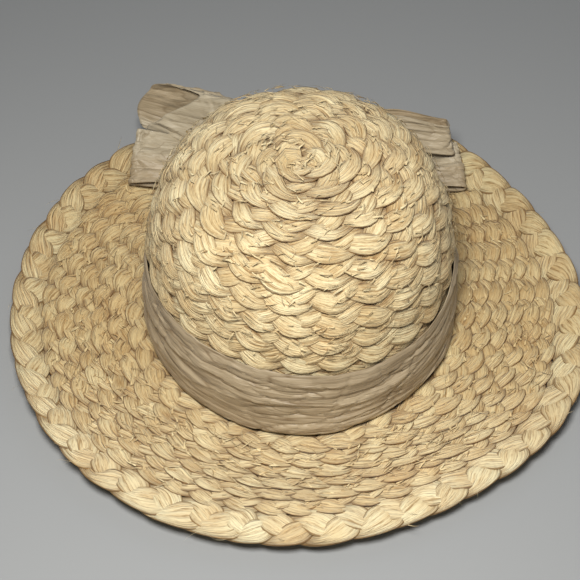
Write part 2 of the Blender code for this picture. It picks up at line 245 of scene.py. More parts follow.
def brim_tables(count=360, steps=120):
    """Sections of the brim's underside at even directions: way out, reach, rise and slope."""
    direction = TAU * np.arange(count) / count
    flat = brim_flat(direction)
    share = np.linspace(0.0, 1.0, steps)
    out = -CROWN_WALL + share[None, :] * (flat[:, None] + RIM_WIDTH + 0.004 + CROWN_WALL)
    bend = (out - (flat[:, None] - BRIM_BEND_BEFORE)) / (BRIM_BEND_BEFORE + BRIM_BEND_AFTER)
    slope = np.radians(station(BRIM_TURN, direction))[:, None] * smooth_step(bend)
    middle = 0.5 * (slope[:, 1:] + slope[:, :-1])
    step = (out[:, 1] - out[:, 0])[:, None]
    start = np.zeros((count, 1))
    reach = out[:, :1] + np.concatenate([start, np.cumsum(np.cos(middle) * step, 1)], 1)
    rise = np.concatenate([start, np.cumsum(np.sin(middle) * step, 1)], 1)
    lift = BRIM_LIFT * station(BRIM_LIFTS, direction)[:, None]
    rise = rise + lift * smooth_step((out / flat[:, None] - BRIM_REST_SHARE) / (1.0 - BRIM_REST_SHARE))
    steep = np.arctan2(np.gradient(rise, axis=1), np.gradient(reach, axis=1))
    return out, reach, rise, steep


OUT, REACH, RISE, STEEP = brim_tables()


def brim_point(direction, distance, height):
    """Distance runs out from the crown's foot, and height up from the brim's underside."""
    count, steps = OUT.shape
    place = np.mod(direction, TAU) / TAU * count
    first = np.floor(place).astype(int) % count
    after = (first + 1) % count
    t = place - np.floor(place)

    def read(table):
        found = []
        for row in (first, after):
            share = (distance - OUT[row, 0]) / (OUT[row, -1] - OUT[row, 0]) * (steps - 1)
            share = np.clip(share, 0.0, steps - 1.001)
            step = share.astype(int)
            f = share - step
            found.append(table[row, step] * (1 - f) + table[row, step + 1] * f)
        return found[0] * (1 - t) + found[1] * t

    steep = read(STEEP)
    plan = read(REACH) - height * np.sin(steep)
    z = read(RISE) + height * np.cos(steep)
    out_x = OVAL * np.cos(direction)
    out_y = np.sin(direction)
    size = np.hypot(out_x, out_y)
    x = CROWN_HALF_WIDTH * np.cos(direction) + plan * out_x / size
    y = CROWN_HALF_LENGTH * np.sin(direction) + plan * out_y / size
    return np.stack([x, y, z], -1)


def surface_frame(put, direction, distance, height):
    """A point over a surface, with its outward, along and across directions."""

    def at(turned, down, over):
        return put(np.array([turned]), np.array([down]), np.array([over]))[0]

    here = at(direction, distance, height)
    along = unit(at(direction + 0.01, distance, height) - here)
    out = unit(at(direction, distance, height + 0.001) - here)
    return here, out, along, np.cross(out, along)


def lengths_round(ring, count=720):
    """The directions of a closed row's points, and the length run to each."""
    direction = np.linspace(0.0, TAU, count + 1)
    step = np.linalg.norm(np.diff(ring(direction), axis=0), axis=1)
    return direction, np.concatenate(([0.0], np.cumsum(step)))


# Mesh helpers


def select_only(*pieces):
    bpy.ops.object.select_all(action="DESELECT")
    for piece in pieces:
        piece.select_set(True)
    bpy.context.view_layer.objects.active = pieces[0]


def sheet_of_points(name, points, uv, tone):
    """A grid primitive set to rows and columns of points, with its own UVs in metres.

    The attribute of painted light goes to the material, which is darkened as painted shade where it is low,
    and row keeps each point's row.
    """
    rows, columns = points.shape[:2]
    bpy.ops.object.select_all(action="DESELECT")
    bpy.ops.mesh.primitive_grid_add(x_subdivisions=columns - 1, y_subdivisions=rows - 1, size=1.0)
    piece = bpy.context.object
    piece.name = name
    piece.location = (0.0, 0.0, 0.0)
    mesh = piece.data
    mesh.name = name
    place = np.empty(len(mesh.vertices) * 3, np.float32)
    mesh.vertices.foreach_get("co", place)
    place = place.reshape(-1, 3)
    column = np.round((place[:, 0] + 0.5) * (columns - 1)).astype(int)
    row = np.round((place[:, 1] + 0.5) * (rows - 1)).astype(int)
    moved = points[row, column] + np.array(AXIS)
    mesh.vertices.foreach_set("co", moved.astype(np.float32).ravel())
    corner = np.empty(len(mesh.loops), np.int32)
    mesh.loops.foreach_get("vertex_index", corner)
    mesh.uv_layers[0].data.foreach_set("uv", uv[row, column][corner].astype(np.float32).ravel())
    shown = mesh.attributes.new("tone", "FLOAT", "POINT")
    shown.data.foreach_set("value", tone[row, column].astype(np.float32))
    rank = mesh.attributes.new("row", "INT", "POINT")
    rank.data.foreach_set("value", row.astype(np.int32))
    mesh.update()
    return piece


def weld_and_smooth(piece, angle):
    """Closes seams, turns the faces outwards and shades smooth below an angle in degrees."""
    select_only(piece)
    bpy.ops.object.mode_set(mode="EDIT")
    bpy.ops.mesh.select_all(action="SELECT")
    bpy.ops.mesh.remove_doubles(threshold=WELD_REACH)
    bpy.ops.mesh.normals_make_consistent(inside=False)
    bpy.ops.object.mode_set(mode="OBJECT")
    bpy.ops.object.shade_smooth_by_angle(angle=math.radians(angle))
    return piece


def join(pieces, name):
    select_only(*pieces)
    bpy.ops.object.join()
    pieces[0].name = name
    pieces[0].data.name = name
    return pieces[0]


def ribbon_wall(sheet):
    """A creased sheet, welded and given the ribbon's wall."""
    weld_and_smooth(sheet, 35.0)
    wall = sheet.modifiers.new("thickness", "SOLIDIFY")
    wall.thickness = RIBBON_WALL
    wall.offset = 0.0
    select_only(sheet)
    bpy.ops.object.modifier_apply(modifier="thickness")
    return sheet


# Plaits


def plait_strands(
    name, put, length, closed, seed, period, spread, width, thick, rise, lean, steps, around, square=-0.05
):
    """Three flat strands that cross over and under one another along a row.

    put(along, across, height) places points on the hat. A strand swings by spread to each side once a
    period, square sharpens or blunts its turns, and lean lifts the plait's outer edge over its inner one.
    """
    if closed:
        period = length / max(1, round(length / period))
    rings = max(8, int(round(length / period * steps)))
    leaves = round(length / period) * 3
    along = np.linspace(0.0, length, rings + 1)
    angle = TAU * np.arange(around + 1)[None, :] / around
    side = np.cos(angle)
    raised = np.sign(np.sin(angle)) * np.abs(np.sin(angle)) ** 0.5
    strands = []
    for strand in range(3):
        uneven = periodic_wander(along / length, leaves, seed + strand)
        other = periodic_wander(along / length, leaves, seed + 17 + strand)

        # The strand's middle line: its place across the row, its height and its slope
        turn = TAU * (along / period + strand / 3.0 + 0.045 * other)
        swing = spread * (1.0 + 0.22 * uneven)
        across = swing * (np.sin(turn) + square * np.sin(3.0 * turn)) / (1.0 - square)
        up = rise * (np.sin(2.0 * turn) + 0.25 * other)
        slope = spread * (np.cos(turn) + 3.0 * square * np.cos(3.0 * turn)) / (1.0 - square) * TAU / period
        size = np.sqrt(1.0 + slope**2)

        # It is broad where it lies on top, so that it shows as a pointed leaf
        leaf = LEAF_BREADTH + LEAF_SWELL * np.sin(2.0 * turn + LEAF_LEAD)
        broad = 0.5 * width * leaf * (1.0 + 0.16 * other)
        deep = 0.5 * thick * (1.0 + 0.18 * uneven)
        if not closed:
            ends = smooth_step(np.minimum(along, length - along) / (0.06 * period))
            broad = broad * ends
            deep = deep * ends

        # Its skin, with furrows along the fibres
        furrow = 1.0
        for number, furrow_depth, shift, other_shift in FURROWS:
            wandering = shift * uneven[:, None] + other_shift * other[:, None]
            furrow = furrow + furrow_depth * np.cos(number * angle + wandering)
        offset = side * broad[:, None]
        along_grid = along[:, None] - offset * (slope / size)[:, None]
        across_grid = across[:, None] + offset / size[:, None]
        tucked = across_grid / (spread + 0.5 * width)
        tucked = lean * np.where(tucked > 0.0, tucked, INNER_EDGE_LEAN * tucked)
        height = up[:, None] + raised * deep[:, None] * furrow + tucked
        points = put(along_grid, across_grid, height)
        points[..., 2] = np.maximum(points[..., 2], FLOOR_GAP)

        # Painted shade: the painted light is low in the hollows between strands, seen from above or from
        # below, and at each strand's edges
        depth = up[:, None] + raised * deep[:, None] + 0.5 * tucked
        depth = np.where(raised < 0.0, -depth, depth)
        tone = np.clip(0.5 + 0.5 * depth / (rise + 0.5 * thick + 0.5 * lean), 0.0, 1.0)
        tone = tone * (1.0 - 0.80 * smooth_step((np.abs(side) - 0.86) / 0.14))
        u = along[:, None] + 0 * side + 7.3 * strand
        v = angle / TAU * 2.2 * width + 0 * along[:, None]
        piece = sheet_of_points(f"{name}_{strand}", points, np.stack([u, v], -1), tone)
        strands.append(weld_and_smooth(piece, 60.0))
    return strands


def band_top(direction):
    """The height of the band's upper edge, which dips at the front."""
    away = 1.0 - np.abs(np.mod(direction / math.pi + BAND_DIP_TURN, 2.0) - 1.0)
    dip = BAND_FRONT_DIP * smooth_step((BAND_DIP_REACH - away) / BAND_DIP_EASE)
    return BAND_LOW + BAND_WIDTH - BAND_EDGE_WAVE * np.sin(2.0 * direction + math.radians(174.0)) - dip


def make_crown_plait():
    """One plait wound in a spiral from the top down to the brim, with a short one in its middle."""
    turns = (run_at(CROWN_LAST_ROW) - CROWN_START) / CROWN_PITCH
    spin = np.linspace(0.0, TAU * turns, 9000)
    line = crown_point(spin, CROWN_START + CROWN_PITCH * spin / TAU, np.zeros_like(spin))
    length = np.concatenate(([0.0], np.cumsum(np.linalg.norm(np.diff(line, axis=0), axis=1))))

    def put(along, across, height):
        turned = np.interp(along, length, spin)
        direction = turned + CROWN_SPIRAL_TURN
        down = CROWN_START + CROWN_PITCH * turned / TAU + across
        waver = CROWN_WAVER * wander(along / 0.09, 5)
        # Under the band the plait lies flatter
        held = smooth_step((band_top(direction) + 0.002 - np.interp(down, RUN, HEIGHT)) / 0.005)
        height = height * (1.0 - CROWN_HELD_FLAT * held) - CROWN_SINK - CROWN_HELD_SINK * held
        return crown_point(direction, down + waver, height)

    def put_middle(along, across, height):
        x = along - 0.5 * MIDDLE_LENGTH
        return crown_point(np.arctan2(across, x), np.hypot(x, across), height - MIDDLE_SINK)

    middle = plait_strands("crown_middle", put_middle, MIDDLE_LENGTH, False, 15, **MIDDLE_STRANDS)
    spiral = plait_strands("crown_plait", put, length[-1], False, 11, **CROWN_STRANDS)
    return join(middle + spiral, "crown_plait")


def make_brim_row(row):
    """One closed row of plait, whose outer edge lies over the next row."""
    share = (row + BRIM_FIRST_ROW) / BRIM_ROWS

    def ring(direction):
        return brim_point(direction, brim_flat(direction) * share, 0.0026 + 0 * direction)

    direction, length = lengths_round(ring)

    def put(along, across, height):
        turned = np.interp(np.mod(along, length[-1]), length, direction)
        return brim_point(turned, brim_flat(turned) * share + across, height + BRIM_ROW_HEIGHT)

    return plait_strands(f"brim_row_{row}", put, length[-1], True, 40 + 5 * row, **BRIM_STRANDS)


def make_brim_plait():
    rows = [make_brim_row(row) for row in range(BRIM_ROWS)]
    return join([strand for strands in rows for strand in strands], "brim_plait")


def make_rim_plait():
    """The wide plait of the brim's edge, whose leaves point the other way round."""

    def ring(direction):
        return brim_point(direction, brim_flat(direction) + 0.5 * RIM_WIDTH, RIM_ROW_HEIGHT + 0 * direction)

    direction, length = lengths_round(ring)

    def put(along, across, height):
        turned = np.interp(np.mod(-along, length[-1]), length, direction)
        out = brim_flat(turned) + 0.5 * RIM_WIDTH + RIM_HALF_PLAIT * np.tanh(across / RIM_FLATTENING)
        return brim_point(turned, out, height + RIM_ROW_HEIGHT)

    return join(plait_strands("rim_plait", put, length[-1], True, 90, **RIM_STRANDS), "rim_plait")


# Loose ends of straw


def make_strays(name, count, seed, place, length, thick, lift):
    """Thin tapered fibres that start on the plait and bend up off it."""
    rng = np.random.default_rng(seed)
    steps, around = 6, 4
    share = np.linspace(0.0, 1.0, steps + 1)
    angle = TAU * np.arange(around + 1) / around
    round_about = np.cos(angle)[None, :, None]
    round_over = 0.4 * np.sin(angle)[None, :, None]
    rings, marks = [], []
    for number in range(count):
        start, out, along, across = place(rng)
        way = along * rng.choice((-1.0, 1.0)) + across * rng.normal() * 0.55
        way = way / max(np.linalg.norm(way), 1e-6)
        bend = np.cross(out, way) * rng.uniform(-0.6, 0.6)
        size = length * rng.uniform(0.4, 1.3)
        rise = lift * (0.6 + rng.uniform() ** 3)
        line = share[:, None] * way + share[:, None] ** 2 * bend + rise * np.sin(2.2 * share)[:, None] * out
        line = start + size * line
        half = 0.5 * thick * rng.uniform(0.6, 1.4) * (1.0 - share**2)[:, None, None]
        rings.append(line[:, None, :] + half * (round_about * np.cross(way, out) + round_over * out))
        u = share[:, None] * size + 0.37 * number + 0 * angle
        v = angle * 0.0002 + 0 * share[:, None]
        marks.append(np.stack([u, v], -1))
    points = np.concatenate(rings)
    uv = np.concatenate(marks)
    piece = sheet_of_points(name, points, uv, 0.85 + 0 * uv[..., 0])

    # The faces that would tie one fibre's tip to the next one's root are deleted
    bpy.ops.object.mode_set(mode="EDIT")
    bpy.ops.mesh.select_mode(type="FACE")
    bpy.ops.mesh.select_all(action="DESELECT")
    bpy.ops.object.mode_set(mode="OBJECT")
    rank = piece.data.attributes["row"].data
    for polygon in piece.data.polygons:
        lowest = min(rank[corner].value for corner in polygon.vertices)
        polygon.select = lowest % (steps + 1) == steps
    bpy.ops.object.mode_set(mode="EDIT")
    bpy.ops.mesh.delete(type="FACE")
    bpy.ops.object.mode_set(mode="OBJECT")
    return weld_and_smooth(piece, 60.0)


def stray_on_crown(rng):
    """A root on the crown above its band."""
    lowest = float(run_at(BAND_LOW + BAND_WIDTH + 0.0075))
    return surface_frame(crown_point, rng.uniform(0, TAU), lowest * rng.uniform() ** 0.6, 0.0018)


def stray_on_brim(rng):
    direction = rng.uniform(0, TAU)
    return surface_frame(brim_point, direction, float(brim_flat(direction)) * rng.uniform(0.14, 1.0), 0.0043)


def stray_on_rim(rng):
    """A root near the hat's edge, whose straw sticks out sideways."""
    direction = rng.uniform(0, TAU)
    distance = float(brim_flat(direction)) + RIM_WIDTH * rng.uniform(0.80, 0.98)
    here, out, along, across = surface_frame(brim_point, direction, distance, 0.0030)
    return here, 0.5 * out - 0.9 * across, along, across


# Ribbon


def folds(x, y, seed):
    """Sharp ridges, from 0 to 1, as in creased ribbon."""
    return (1.0 - np.abs(noise_grid(x, y, seed))) ** 2


def long_folds(turn, y, seed, repeat):
    """Ridges that flow round the hat with no seam."""
    first = noise_grid(turn * repeat, y, seed, repeat)
    second = noise_grid(turn * (repeat + 4) + 0.4, y + 0.5, seed + 1, repeat + 4)
    return (1.0 - np.minimum(1.0, np.abs(first + second))) ** 2


def crumpled(points, push):
    """The points pushed along their surface's normals."""
    over = np.gradient(points, axis=0)
    along = np.gradient(points, axis=1)
    return points + push[..., None] * unit(np.cross(along, over))


# Pleats along the band: depth in metres, how many over its height, way of drift, seed, cells round, sharpness
BAND_PLEATS = (
    (0.0015, 4.0, 1, 6, 7, 1),
    (0.0007, 9.0, -1, 8, 12, 1),
    (-0.0012, 4.5, 1, 10, 9, 6),
    (-0.0008, 7.0, -1, 12, 15, 6),
)
# Creases across the band: direction in degrees, lean over the height in degrees, depth in metres
BAND_CREASES = (
    (-78.0, 12.0, 0.0007), (-58.0, -9.0, 0.0009), (-50.0, 14.0, 0.0006),
    (-120.0, 10.0, 0.0006), (-150.0, -12.0, 0.0006), (-20.0, 9.0, 0.0006),
    (20.0, -10.0, 0.0007), (70.0, 12.0, 0.0006), (150.0, 10.0, 0.0007),
)


def make_band():
    """The ribbon round the crown's foot, with long soft pleats and a few sharp creases across."""
    around, up = 520, 44
    direction = np.linspace(0.0, TAU, around + 1)[None, :] + np.zeros((up + 1, 1))
    share = np.linspace(0.0, 1.0, up + 1)[:, None] + 0 * direction
    turn = direction / TAU
    ragged = 0.0007 * noise_grid(turn * 40, 0 * turn, 3, 40)
    frayed = 0.0004 * noise_grid(turn * 120, 0 * turn, 4, 120)
    z = BAND_LOW + (band_top(direction) + ragged + frayed - BAND_LOW) * share
    drift = 0.10 * noise_grid(turn * 12, 1.5 + 0 * turn, 5, 12)
    push = np.zeros_like(share)
    for deep, rows, way, seed, cells, sharpness in BAND_PLEATS:
        push += deep * long_folds(turn, (share + way * drift) * rows, seed, cells) ** sharpness
    for middle, lean, deep in BAND_CREASES:
        off = np.degrees(direction) - (middle % 360.0) - lean * (share - 0.5)
        push -= deep * np.exp(-((off / 0.9) ** 2)) * (0.4 + 0.6 * share)
    edge = np.minimum(share, 1.0 - share)
    push -= 0.0006 * (1.0 - smooth_step(edge / 0.05))
    # The upper edge hugs the crown
    hug = smooth_step((share - 0.86) / 0.14)
    over = BAND_CLEARANCE - BAND_HUG * hug + push * (1.0 - 0.8 * hug)
    points = crown_point(direction, run_at(z), over)
    uv = np.stack([turn * BAND_GIRTH, share * BAND_WIDTH], -1)
    return ribbon_wall(sheet_of_points("band_ribbon", points, uv, 1.0 + 0 * share))


# Flat loops of the bow, as in the solids: name and side, then reach, back, rise, width, puff and dip as
# shares of the bow's half span, root as a share of the knot's half height, and roll and skew in degrees
LOOPS = (
    ("bow_loop_lower_left", -1, 1.000, -0.020, -0.098, 0.345, 0.014, 0.060, -0.52, 35, 9),
    ("bow_loop_lower_right", 1, 0.970, -0.075, -0.122, 0.300, 0.013, 0.070, -0.52, 25, 7),
    ("bow_loop_upper_right", 1, 0.905, 0.040, 0.038, 0.238, 0.062, -0.035, 0.45, 71, 12),
)
# The puffed loop's sections: reach, back, rise, tall, near and far as shares of the bow's half span, and
# then lean and turn in degrees
FUNNEL = np.array((
    (0.092, 0.000, 0.080, 0.060, -0.030, 0.030, 0, 90),
    (0.200, 0.030, 0.100, 0.085, -0.045, 0.045, 4, 96),
    (0.340, 0.080, 0.100, 0.132, -0.090, 0.075, 8, 104),
    (0.500, 0.130, 0.088, 0.168, -0.120, 0.095, 16, 114),
    (0.660, 0.172, 0.070, 0.172, -0.115, 0.115, 26, 126),
    (0.865, 0.205, 0.056, 0.158, -0.025, 0.160, 36, 138),
))


def knot_middle():
    """The middle of the knot, which rests on the back of the band."""
    back = crown_point(np.array([0.5 * math.pi]), run_at(np.array([KNOT_RISE])), np.array([0.0035]))[0]
    return np.array([0.0, back[1] + 0.0003 + KNOT_HALF_DEPTH, KNOT_RISE])


def make_loop(name, side, reach, back, rise, width, puff, dip, root, roll, skew, seed):
    """A flattened loop from the knot to its tip and back, and the flat size of its ribbon."""
    path = np.linspace(0.0, 1.0, 97)[None, :] + np.zeros((33, 1))
    across = np.linspace(-1.0, 1.0, 33)[:, None] + 0 * path
    standing = roll > 50
    middle = knot_middle()
    start = middle + np.array([side * (KNOT_HALF_WIDTH - 0.0010), 0.0, root * KNOT_HALF_HEIGHT])
    tip = BOW_HALF_SPAN * np.array([side * reach, back, rise]) + np.array([0.0, middle[1], middle[2]])
    turned = 1.0 - 2.0 * path
    run = 1.0 - turned * turned * np.abs(turned) ** 0.4
    opening = np.abs(np.sin(math.pi * np.minimum(1.0, np.abs(turned) ** 0.6))) ** 0.7

    # The ribbon widens from the knot, and turns from upright there to its own roll
    spread = smooth_step(run / 0.75)
    narrow = 0.30 * KNOT_HALF_HEIGHT
    half_width = narrow + (0.5 * width * BOW_HALF_SPAN - narrow) * spread
    lean = np.radians(skew) * spread
    if standing:
        tilt = np.radians(90.0 + (roll - 90.0) * spread)
        swing = np.sin(lean) * np.sin(tilt)
        half_width = half_width * (1.0 - 0.42 * np.maximum(across, 0.0) * smooth_step((run - 0.55) / 0.45))
    else:
        tilt = np.radians(90.0 * (1.0 - smooth_step(run / 0.45)) + roll * run**3)
        swing = np.sin(lean)
    wide = unit(np.stack([-side * swing, np.cos(tilt), np.sin(tilt)], -1))
    thick = unit(np.cross(unit(tip - start) + 0 * wide, wide)) * side
    hollow = 0.0010 * np.minimum(1.0, np.abs(turned) / 0.12)
    hollow = hollow + (puff * BOW_HALF_SPAN - 0.0010) * smooth_step(run / 0.5) * opening
    points = start + run[..., None] * (tip - start) + wide * (across * half_width)[..., None]
    points[..., 2] -= dip * BOW_HALF_SPAN * np.sin(math.pi * run)
    points = points + thick * (hollow * np.sign(turned))[..., None]

    # Pleats along the ribbon and creases across it, calm where it enters the knot
    calm = 0.25 + 0.75 * smooth_step(np.minimum(path, 1.0 - path) / 0.1)
    warp = 0.5 * noise_grid(path * 3.1, across * 1.3, seed)
    pleat = np.mod(across * 2.3 + 0.35 * np.cos(TAU * path) + 0.4 * warp, 1.0)
    pleat = 1.0 - np.abs(pleat * 2.0 - 1.0)
    push = 0.0015 * folds(path * 3.3, across * 2.0 + warp, seed + 1) - 0.0006
    push += 0.0008 * folds(path * 4.7, across * 5.5 - warp, seed + 2)
    push += 0.0007 * folds(path * 2.7, across * 11.0 + warp, seed + 3)
    push += 0.0014 * pleat * smooth_step((0.55 - across) / 0.5)
    if standing:
        push = push * 0.45
        # Painted shade: the return half of a standing loop is darker
        tone = 0.86 - 0.24 * (turned < 0)
    else:
        # Painted shade: a lying loop darkens towards its lower front edge
        tone = 1.0 - 0.28 * smooth_step((0.30 - across) / 0.6)
    points = crumpled(points, push * calm * side)
    length = 2.0 * abs(tip[0] - start[0])
    uv = np.stack([path * length, across * 0.5 * width * BOW_HALF_SPAN], -1)
    loop = ribbon_wall(sheet_of_points(name + "_ribbon", points, uv, tone))
    return loop, (width * BOW_HALF_SPAN, length)


def make_funnel_loop():
    """The puffed loop: a tube that opens from the knot to its mouth, which is drawn in on one side."""
    along, sides = 72, 96
    place = np.linspace(0.0, 5.0, along + 1)[:, None] + np.zeros((1, sides + 1))
    angle = np.linspace(0.0, TAU, sides + 1)[None, :] + 0 * place
    turns = angle / TAU
    drawn_in = smooth_step(1.1 - 2.4 * np.sin(angle)) * (0.5 + 0.5 * np.cos(angle)) ** 4
    edge = 0.10 * noise_grid(turns * 14, 0 * angle, 21, 14) * smooth_step((place - 3.8) / 1.2)
    place = place * (1.0 - drawn_in / 5.0) + edge
    table = np.vstack([FUNNEL, 2 * FUNNEL[-1] - FUNNEL[-2]])
    reach, back, rise, tall, near, far, lean, turn = (
        np.interp(place, np.arange(len(table)), column) for column in table.T
    )
    lean = np.radians(lean)
    turn = np.radians(turn)
    centre = knot_middle() + BOW_HALF_SPAN * np.stack([-reach, back, rise], -1)
    up = unit(np.stack([np.sin(lean), 0.15 * np.sin(lean), np.cos(lean)], -1))
    deep = np.stack([np.cos(turn), np.sin(turn), 0 * turn], -1)
    deep = unit(deep - up * np.sum(deep * up, -1, keepdims=True))
    fold = 1.0 + 0.10 * reach * np.cos(4.0 * angle + 5.0 * reach)
    tall_way = tall * BOW_HALF_SPAN * np.cos(angle) * fold
    deep_way = BOW_HALF_SPAN * (0.5 * (far + near) + 0.5 * (far - near) * np.sin(angle) * fold)
    points = centre + up * tall_way[..., None] + deep * deep_way[..., None]
    push = 0.0016 * long_folds(turns, place * 0.8, 31, 5) - 0.0009
    push += 0.0010 * long_folds(turns, place * 1.9, 33, 9)
    push += 0.0005 * long_folds(turns, place * 4.5, 35, 17)
    points = crumpled(points, push * smooth_step(place / 1.5))
    uv = np.stack([place * 0.016, turns * 0.085], -1)
    # Painted shade on the far wall inside the puffed loop, away from the knot
    tone = 1.0 - 0.30 * smooth_step(1.4 * np.sin(angle) - 0.1) * smooth_step((place - 1.5) / 2.0)
    return ribbon_wall(sheet_of_points("bow_loop_upper_left_ribbon", points, uv, tone))


def make_knot():
    """A rounded block with soft folds, as ribbon wrapped round the bow's middle."""
    bpy.ops.object.select_all(action="DESELECT")
    bpy.ops.mesh.primitive_uv_sphere_add(segments=72, ring_count=40, radius=1.0)
    piece = bpy.context.object
    piece.name = "bow_knot_ribbon"
    middle = knot_middle() + np.array(AXIS)
    for vert in piece.data.vertices:
        x, y, z = (math.copysign(abs(c) ** 0.55, c) for c in vert.co)
        size = (abs(x) ** 4 + abs(y) ** 4 + abs(z) ** 4) ** 0.25
        turn = math.atan2(y, x)
        fold = 1.0 - 0.05 * (0.5 + 0.5 * math.cos(5.0 * turn))
        fold = fold - 0.02 * (0.5 + 0.5 * math.cos(17.0 * turn + 2.0 * z))
        vert.co = (
            middle[0] + KNOT_HALF_WIDTH * x / size * fold,
            middle[1] + KNOT_HALF_DEPTH * y / size * fold,
            middle[2] + KNOT_HALF_HEIGHT * z / size,
        )
    tone = piece.data.attributes.new("tone", "FLOAT", "POINT")
    tone.data.foreach_set("value", np.ones(len(piece.data.vertices), np.float32))
    return weld_and_smooth(piece, 45.0)


# Materials

WHITE = (1.0, 1.0, 1.0)
BLACK = (0.0, 0.0, 0.0)
FIBRE_TAN = (0.42, 0.28, 0.14)
CRACK_TAN = (0.48, 0.31, 0.16)
PATCH_TAN = (0.86, 0.68, 0.48)
PAINTED_FALLOFF_TAN = (0.83, 0.79, 0.71)
RIBBON_FIBRE = (0.74, 0.69, 0.61)
RIBBON_CREASE_SHADE = (0.42, 0.33, 0.23)
RIBBON_PAINTED_SHADE = (0.60, 0.47, 0.32)


class Socket:
    """One node output, or a plain number, in shader maths."""

    def __init__(self, tree, value):
        self.tree = tree
        self.value = value

    def math(self, operation, *others):
        node = self.tree.nodes.new("ShaderNodeMath")
        node.operation = operation
        for i, item in enumerate((self, *others)):
            link_or_set(self.tree, node.inputs[i], item)
        return Socket(self.tree, node.outputs[0])

    def __add__(self, other):
        return self.math("ADD", other)

    def __sub__(self, other):
        return self.math("SUBTRACT", other)

    def __mul__(self, other):
        return self.math("MULTIPLY", other)

    def __radd__(self, other):
        return self + other

    def __rsub__(self, other):
        return Socket(self.tree, other).math("SUBTRACT", self)

    def __rmul__(self, other):
        return self * other


def link_or_set(tree, target, item):
    value = item.value if isinstance(item, Socket) else item
    if isinstance(value, bpy.types.NodeSocket):
        tree.links.new(value, target)
    elif isinstance(value, tuple) and len(value) == 3 and len(target.default_value) == 4:
        target.default_value = (*value, 1.0)
    else:
        target.default_value = value


class Finish:
    """A material under construction."""

    def __init__(self, name):
        self.made = bpy.data.materials.new(name)
        self.made.use_nodes = True
        self.tree = self.made.node_tree
        self.shader = self.tree.nodes["Principled BSDF"]

    def node(self, kind, settings=None, output=0, **inputs):
        """A node of any kind: its settings first, a ramp's stops among them, then its inputs by name."""
        node = self.tree.nodes.new(kind)
        settings = dict(settings or {})
        stops = settings.pop("stops", ())
        for key, value in settings.items():
            setattr(node, key, value)
        if stops:
            ramp = node.color_ramp
            while len(ramp.elements) < len(stops):
                ramp.elements.new(0.5)
            for element, (position, color) in zip(ramp.elements, stops):
                element.position = position
                element.color = (*color, 1.0)
        for key, value in inputs.items():
            name = key.replace("_", " ")
            target = next(i for i in node.inputs if i.name == name and i.enabled)
            link_or_set(self.tree, target, value)
        return Socket(self.tree, node.outputs[output])

    def mix(self, kind, factor, a, b):
        node = self.tree.nodes.new("ShaderNodeMix")
        node.data_type = "RGBA"
        node.blend_type = kind
        link_or_set(self.tree, node.inputs[0], factor)
        link_or_set(self.tree, node.inputs[6], a)
        link_or_set(self.tree, node.inputs[7], b)
        return Socket(self.tree, node.outputs[2])

    def noise(self, vector, scale, detail=3.0, roughness=0.55):
        return self.node("ShaderNodeTexNoise", Vector=vector, Scale=scale, Detail=detail, Roughness=roughness)

    def grain(self, source, along, across, detail=3.0, roughness=0.55):
        """Noise with this many cells to a metre along and across a ribbon or a strand."""
        stretched = self.node("ShaderNodeMapping", Vector=source, Scale=(along, across, 1.0))
        return self.noise(stretched, 1.0, detail, roughness)

    def ramp(self, factor, *stops):
        return self.node("ShaderNodeValToRGB", {"stops": stops}, Fac=factor)

    def fade(self, value, start, end, first, last):
        """Goes from first to last as the value goes from start to end."""
        return self.node(
            "ShaderNodeMapRange", Value=value, From_Min=start, From_Max=end, To_Min=first, To_Max=last
        )

    def set(self, **values):
        for key, value in values.items():
            link_or_set(self.tree, self.shader.inputs[key.replace("_", " ")], value)


def straw(name, pale, tan, deep, falloff_shade):
    """Split straw: leaves and streaks of pale and tan, fine fibres and cracks, with painted shade in the
    hollows between strands and painted shade towards the sides and back.

    The last argument is how much painted shade darkens the hat at its sides and back against its front, where
    the light falls off.
    """
    finish = Finish(name)
    uv = finish.node("ShaderNodeUVMap")
    place = finish.node("ShaderNodeTexCoord", output=3)
    depth = finish.node("ShaderNodeAttribute", {"attribute_name": "tone"}, 2)
    fibres = finish.grain(uv, 70.0, 1350.0, roughness=0.65)
    streaks = finish.grain(uv, 30.0, 760.0)
    leaf = finish.grain(uv, 42.0, 20.0, detail=1.0)
    patches = finish.noise(place, 22.0)
    between = tuple(0.5 * (a + b) for a, b in zip(tan, pale))
    mottled = streaks * 0.34 + leaf * 0.54 + patches * 0.15
    base = finish.ramp(mottled, (0.40, tan), (0.52, between), (0.62, pale))
    lines = finish.ramp(fibres * 0.7 + streaks * 0.3, (0.38, FIBRE_TAN), (0.48, WHITE))
    base = finish.mix("MULTIPLY", 0.75, base, lines)
    crack = finish.fade((streaks - 0.47).math("ABSOLUTE"), 0.003, 0.018, 0.55, 0.0)
    base = finish.mix("MULTIPLY", crack, base, CRACK_TAN)
    base = finish.mix("MIX", (patches - 0.52) * 2.2, base, finish.mix("MULTIPLY", 1.0, base, PATCH_TAN))
    # Painted shade: the straw is darkened towards its deep colour where the strands' painted light is low, in
    # hollows and at edges
    hollow = finish.ramp(depth + 0.20 * (streaks - 0.5), (0.30, WHITE), (0.74, BLACK))
    base = finish.mix("MIX", hollow, base, finish.mix("MULTIPLY", 1.0, base, deep))
    # Painted shade: darker towards the sides and back, where the light falls off
    backward = finish.node("ShaderNodeSeparateXYZ", output=1, Vector=place)
    backward = finish.fade(backward, -0.115, -0.030, 0.0, 1.0)
    base = finish.mix("MULTIPLY", backward * falloff_shade, base, PAINTED_FALLOFF_TAN)
    bump = finish.node("ShaderNodeBump", Height=fibres * 1.1 + streaks * 1.0, Strength=1.0, Distance=0.0015)
    finish.set(Base_Color=base, Roughness=0.50 + 0.22 * fibres, Normal=bump)
    finish.set(Specular_IOR_Level=0.35, Sheen_Weight=0.12)
    return finish.made


